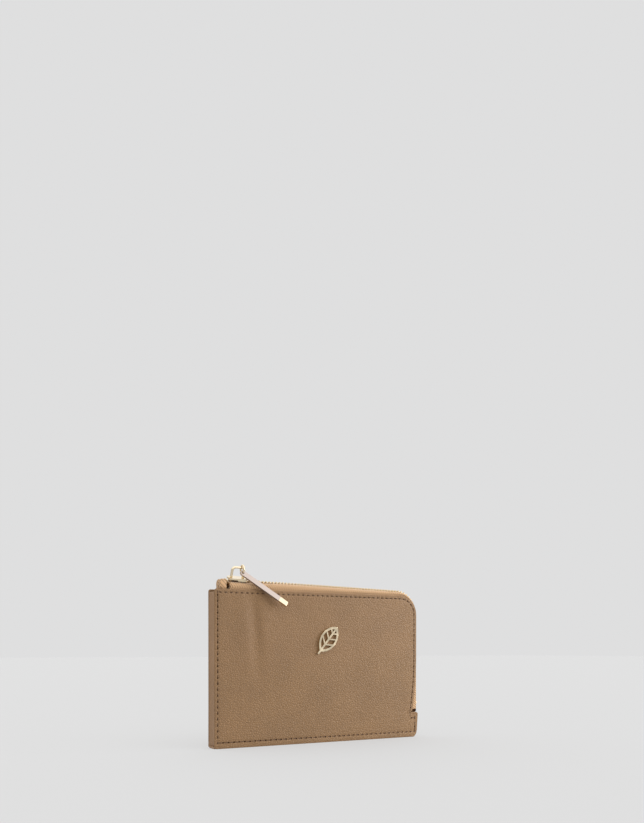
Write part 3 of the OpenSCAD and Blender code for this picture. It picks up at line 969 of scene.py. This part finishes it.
class POUCH_OT_inside(bpy.types.Operator):
    """Build the linings, the boards behind them and the card pockets."""

    bl_idname = "pouch.inside"
    bl_label = "Inside"

    def execute(self, context):
        board_t = BOARD_BOX[1][1] - BOARD_BOX[0][1]
        lining_t = LINING_BOX[1][1] - LINING_BOX[0][1]
        lining_corner = shape().corner_r - 1.5 * MM
        for side, which in ((-1, "front"), (1, "back")):
            bends = side > 0
            board_y = side * (FACE_Y - LEATHER - board_t / 2)
            board = plain_sheet(which + "_stiffener", BOARD_BOX, 2.6 * MM, board_y, board_t * 0.8,
                                "Board")
            nodes = ["back_board", "back_board_flap"] if bends else ["front_board"]
            finish(board, "pouch", nodes, bends)
            lining_y = side * (FACE_Y - LEATHER - board_t - lining_t / 2)
            lining = plain_sheet(which + "_lining_cloth", LINING_BOX, lining_corner, lining_y,
                                 lining_t * 0.8, "Lining cloth")
            nodes = ["back_lining", "back_lining_flap"] if bends else ["front_lining"]
            finish(lining, "pouch", nodes, bends)
        for node in ("card_pocket_tall", "card_pocket_middle", "card_pocket_short"):
            low, high = (Vector(c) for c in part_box(node))
            pocket = plain_sheet(node + "_leather", (low, high), 1.2 * MM, (low.y + high.y) / 2,
                                 (high.y - low.y) * 0.9, "Pocket leather")
            finish(pocket, "pouch", [node])
        return {"FINISHED"}


class POUCH_OT_zip(bpy.types.Operator):
    """Build the tapes, the two rows of teeth and the stops."""

    bl_idname = "pouch.zip"
    bl_label = "Zip"

    def execute(self, context):
        s = shape()
        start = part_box("back_tape")[0][0] - LEFT
        end = path_length()
        slot = end + TAPE_LOW - s.notch_z + s.notch_gap / 2
        front = tape_strip("front_zip_tape", -1, start, slot)
        fold = folded_end("front_tape_fold", -1)
        finish(front, "pouch", ["front_tape"])
        finish(fold, "pouch")
        back = tape_strip("back_zip_tape", 1, start, slot)
        finish(back, nodes=["back_tape"], bends=True)
        back_fold = folded_end("back_tape_fold", 1)
        finish(back_fold, "pouch", ["back_tape_end"])

        def chain(first):
            count = 400
            points = []
            for i in range(count + 1):
                length = end - LAST_TOOTH - first
                edge, out, rise = path_point(first + length * i / count)
                points.append(tuple(edge + out * rise))
            return points

        def wedge(co):
            return 1.0 if co.y > 0.2 * MM else 0.62

        half_tooth = (0.44 * MM, 1.35 * MM, 1.05 * MM)
        first = (SLIDER_BOX[0][0] + SLIDER_BOX[1][0]) / 2 - LEFT + FIRST_TOOTH
        for side, which, nodes in ((-1, "front", ["front_teeth"]), (1, "back", ["back_teeth"])):
            pattern = pattern_shape("tooth_pattern", half_tooth, 8, 12, 0.55, wedge)
            for vert in pattern.data.vertices:
                vert.co.y = side * (vert.co.y + 0.75 * MM)
            if side < 0:
                pattern.data.flip_normals()
            offset = 0.0 if side < 0 else s.tooth_pitch / 2
            teeth = along(which + "_zip_teeth", [chain(first + offset)], s.tooth_pitch, pattern,
                          "Tooth metal", lean=LEAN, wander=0.03)
            bpy.data.objects.remove(pattern)
            finish(teeth, "pouch", nodes, bends=side > 0)
        stops = metal_copy("top_stop_clips", "top_stops", "Gold plate", 0.2 * MM)
        finish(stops, "pouch", ["top_stops"])
        box_stop = metal_copy("bottom_stop_clip", "bottom_stop", "Tooth metal", 0.25 * MM)
        box_stop.data.transform(Matrix.Translation((s.side_rise - s.chain_rise, 0, 0)))
        finish(box_stop, "pouch", ["bottom_stop"])
        return {"FINISHED"}


class POUCH_OT_slider(bpy.types.Operator):
    """Build the slider, its bridge, the ring and the puller."""

    bl_idname = "pouch.slider"
    bl_label = "Slider and puller"

    def execute(self, context):
        for name, node, body, finish_name, slot, bevel in (
            ("slider_shell", "slider_body", "slider", "Gold plate", "gold_metal", 0.22 * MM),
            ("ring_wire", "puller_ring", "ring", "Gold plate", "gold_metal", 0.0),
            ("bar_plate", "puller_bar", "puller", "Rosy plate", "puller_metal", 0.18 * MM),
            ("bar_cap", "puller_tip", "puller", "Gold plate", "gold_metal", 0.16 * MM),
        ):
            finish(metal_copy(name, node, finish_name, bevel), body, [node])
        finish(self.arch("slider_arch"), "slider", ["slider_bridge"])
        return {"FINISHED"}

    def arch(self, name):
        """The bridge: a strap that is wider across the slider than it is thick."""
        low, high = (Vector(c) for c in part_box("slider_bridge"))
        thick, wide, turn, foot = 0.65 * MM, 1.15 * MM, 1.9 * MM, 5.9 * MM
        along_axis = SLIDE_AXIS.normalized()
        leaned = Vector((0, -math.sin(LEAN), math.cos(LEAN)))
        up = Matrix.Rotation(math.atan(FALL), 3, "Y") @ leaned
        across = up.cross(along_axis)
        ring = Vector(JOINTS["ring_lean"]["pos_m"])
        middle = ring + along_axis * (((low.x + high.x) / 2 - ring.x) / along_axis.x)
        half = (high.x - low.x) / 2 - thick
        path = [(-half, -foot + (foot - turn) * i / 8) for i in range(8)]
        path += [(-half + turn * (1 - math.cos(a)), -turn * (1 - math.sin(a)))
                 for a in (math.pi / 2 * i / 10 for i in range(11))]
        path += [(-u, v) for u, v in reversed(path)]
        verts = []
        sides = 20
        for k, (u, v) in enumerate(path):
            before, after = path[max(0, k - 1)], path[min(len(path) - 1, k + 1)]
            way = Vector((after[0] - before[0], after[1] - before[1])).normalized()
            for i in range(sides):
                a = 2 * math.pi * i / sides
                off = math.cos(a) * thick
                point = middle + along_axis * (u - way.y * off) + up * (v + way.x * off)
                verts.append(point + across * (math.sin(a) * wide))
        faces = grid_faces(len(path), sides, flipped=False, closed=True)
        faces += [tuple(range(sides)), tuple(range((len(path) - 1) * sides, len(path) * sides))]
        return recalculate(make_object(name, verts, faces, "Gold plate"))


class POUCH_OT_emblem(bpy.types.Operator):
    """Build the openwork leaf and the washers behind it."""

    bl_idname = "pouch.emblem"
    bl_label = "Emblem"

    def execute(self, context):
        leaf = metal_copy("leaf", "emblem", "Gold plate", 0.32 * MM)
        finish(leaf, "pouch", ["emblem"])
        washers = metal_copy("leaf_washers", "emblem_washers", "Gold plate", 0.06 * MM)
        finish(washers, "pouch", ["emblem_washers"])
        return {"FINISHED"}


class POUCH_OT_stitching(bpy.types.Operator):
    """Sew both panels: short sunk stitches with a needle hole between each pair."""

    bl_idname = "pouch.stitching"
    bl_label = "Stitching"

    def execute(self, context):
        s = shape()
        half_stitch = (1.1 * MM, 0.2 * MM, 0.26 * MM)
        half_hole = (0.72 * MM, 0.16 * MM, 0.42 * MM)
        thread = pattern_shape("stitch_pattern", half_stitch, 8, 8)
        hole = pattern_shape("hole_pattern", half_hole, 6, 8)
        for side, which, dent, nodes in (
            (-1, "front", s.dent, ["front_stitching"]),
            (1, "back", 0.0, ["back_stitching", "back_stitching_flap"]),
        ):
            runs = seam_runs(side, dent)
            sewn = along(which + "_seam", runs, s.stitch_pitch, thread, "Sewing thread",
                         wander=0.05)
            finish(sewn, "pouch", nodes, bends=side > 0)
            # Each needle hole is a near-black blob on the leather: painted shade for the inside of
            # the hole.
            holes = along(which + "_needle_holes", shift_runs(runs, s.stitch_pitch / 2),
                          s.stitch_pitch, hole, "Needle hole")
            finish(holes, "pouch", bends=side > 0)
        bpy.data.objects.remove(thread)
        bpy.data.objects.remove(hole)
        return {"FINISHED"}


class POUCH_OT_stage(bpy.types.Operator):
    """Set the floor, the light and the camera."""

    bl_idname = "pouch.stage"
    bl_label = "Stage"

    def execute(self, context):
        scene = context.scene
        size = 6.0  # metres from the middle to each side
        verts = [(-size, -size, 0), (size, -size, 0), (size, size, 0), (-size, size, 0)]
        floor = make_object("studio_floor", verts, [(0, 1, 2, 3)], "Studio floor", smooth=False)
        self.world(scene)
        self.key_sun(0.32, 50, (0.50, -0.42, 0.68))
        side = self.side_lamp(1.75, 0.3, Vector((0.43, -0.27, 0.14)))
        lit = bpy.data.collections.new("lit_by_side_lamp")
        for obj in scene.objects:
            if obj.type == "MESH" and obj != floor:
                lit.objects.link(obj)
        side.light_linking.receiver_collection = lit
        self.camera(scene)
        scene.view_settings.view_transform = "Standard"
        return {"FINISHED"}

    def camera(self, scene):
        """Level, with the lens shifted up, in front of the spine's near edge and right of it."""
        yaw, back, right, height = math.radians(30.5), 0.472, 0.060, 0.0555
        camera = bpy.data.cameras.new("camera")
        camera.lens = 37.0
        camera.sensor_width = 36.0
        camera.clip_start = 0.01
        camera.shift_y = 0.2898
        ahead = Vector((math.sin(yaw), math.cos(yaw), 0))
        beside = Vector((math.cos(yaw), -math.sin(yaw), 0))
        near_edge = Vector((LEFT, -FACE_Y, 0))
        eye = link("camera", camera)
        eye.location = near_edge - ahead * back + beside * right + Vector((0, 0, height))
        eye.rotation_euler = (math.pi / 2, 0, -yaw)
        scene.camera = eye

    def world(self, scene):
        """A pale room: even behind the pouch, brighter above for the reflections."""
        world = bpy.data.worlds.new("Studio")
        scene.world = world
        world.use_nodes = True
        world.node_tree.nodes.clear()
        tree = Tree(world.node_tree)
        way = tree.add("ShaderNodeTexCoord").outputs["Generated"]
        up = tree.add("ShaderNodeSeparateXYZ", i0=way)
        high = tree.ramp(up.outputs[2], 0.0, 0.9)
        glow = tree.mix(high, (0.55, 0.55, 0.555, 1), (1.45, 1.45, 1.45, 1))
        seen = tree.add("ShaderNodeLightPath").outputs["Is Camera Ray"]
        back = tree.mix(seen, glow, (0.737, 0.737, 0.739, 1))
        shade = tree.add("ShaderNodeBackground", i0=back)
        tree.add("ShaderNodeOutputWorld", i0=shade.outputs[0])

    def key_sun(self, strength, softness, direction):
        light = bpy.data.lights.new("key", "SUN")
        light.energy = strength
        light.angle = math.radians(softness)
        lamp = link("key", light)
        lamp.rotation_euler = Vector(direction).to_track_quat("Z", "Y").to_euler()

    def side_lamp(self, power, width, place):
        """A square lamp that shines at the pouch's middle and isn't seen itself."""
        middle = Vector((0, 0, 0.06))
        light = bpy.data.lights.new("side", "AREA")
        light.energy = power
        light.size = width
        lamp = link("side", light)
        lamp.location = place
        lamp.visible_camera = False
        lamp.rotation_euler = (place - middle).to_track_quat("Z", "Y").to_euler()
        return lamp


OPERATORS = (POUCH_OT_panels, POUCH_OT_gussets, POUCH_OT_inside, POUCH_OT_zip, POUCH_OT_slider,
             POUCH_OT_emblem, POUCH_OT_stitching, POUCH_OT_stage)


class POUCH_PT_panel(bpy.types.Panel):
    """Sizes, colours and the steps that build the pouch."""

    bl_label = "Pouch"
    bl_idname = "POUCH_PT_panel"
    bl_space_type = "VIEW_3D"
    bl_region_type = "UI"
    bl_category = "Pouch"

    def draw(self, context):
        for group in (context.scene.pouch_shape, context.scene.pouch_colours):
            column = self.layout.column(align=True)
            for name in group.__annotations__:
                column.prop(group, name)
        for operator in OPERATORS:
            self.layout.operator(operator.bl_idname)


CLASSES = (PouchShape, PouchColours) + OPERATORS + (POUCH_PT_panel,)


def register():
    for cls in CLASSES:
        bpy.utils.register_class(cls)
    bpy.types.Scene.pouch_shape = bpy.props.PointerProperty(type=PouchShape)
    bpy.types.Scene.pouch_colours = bpy.props.PointerProperty(type=PouchColours)


def unregister():
    del bpy.types.Scene.pouch_shape
    del bpy.types.Scene.pouch_colours
    for cls in reversed(CLASSES):
        bpy.utils.unregister_class(cls)


def main():
    register()
    for operator in OPERATORS:
        step = getattr(bpy.ops.pouch, operator.bl_idname.split(".")[1])
        if step() != {"FINISHED"}:
            raise RuntimeError(operator.bl_label + " didn't finish")


if __name__ == "__main__":
    main()
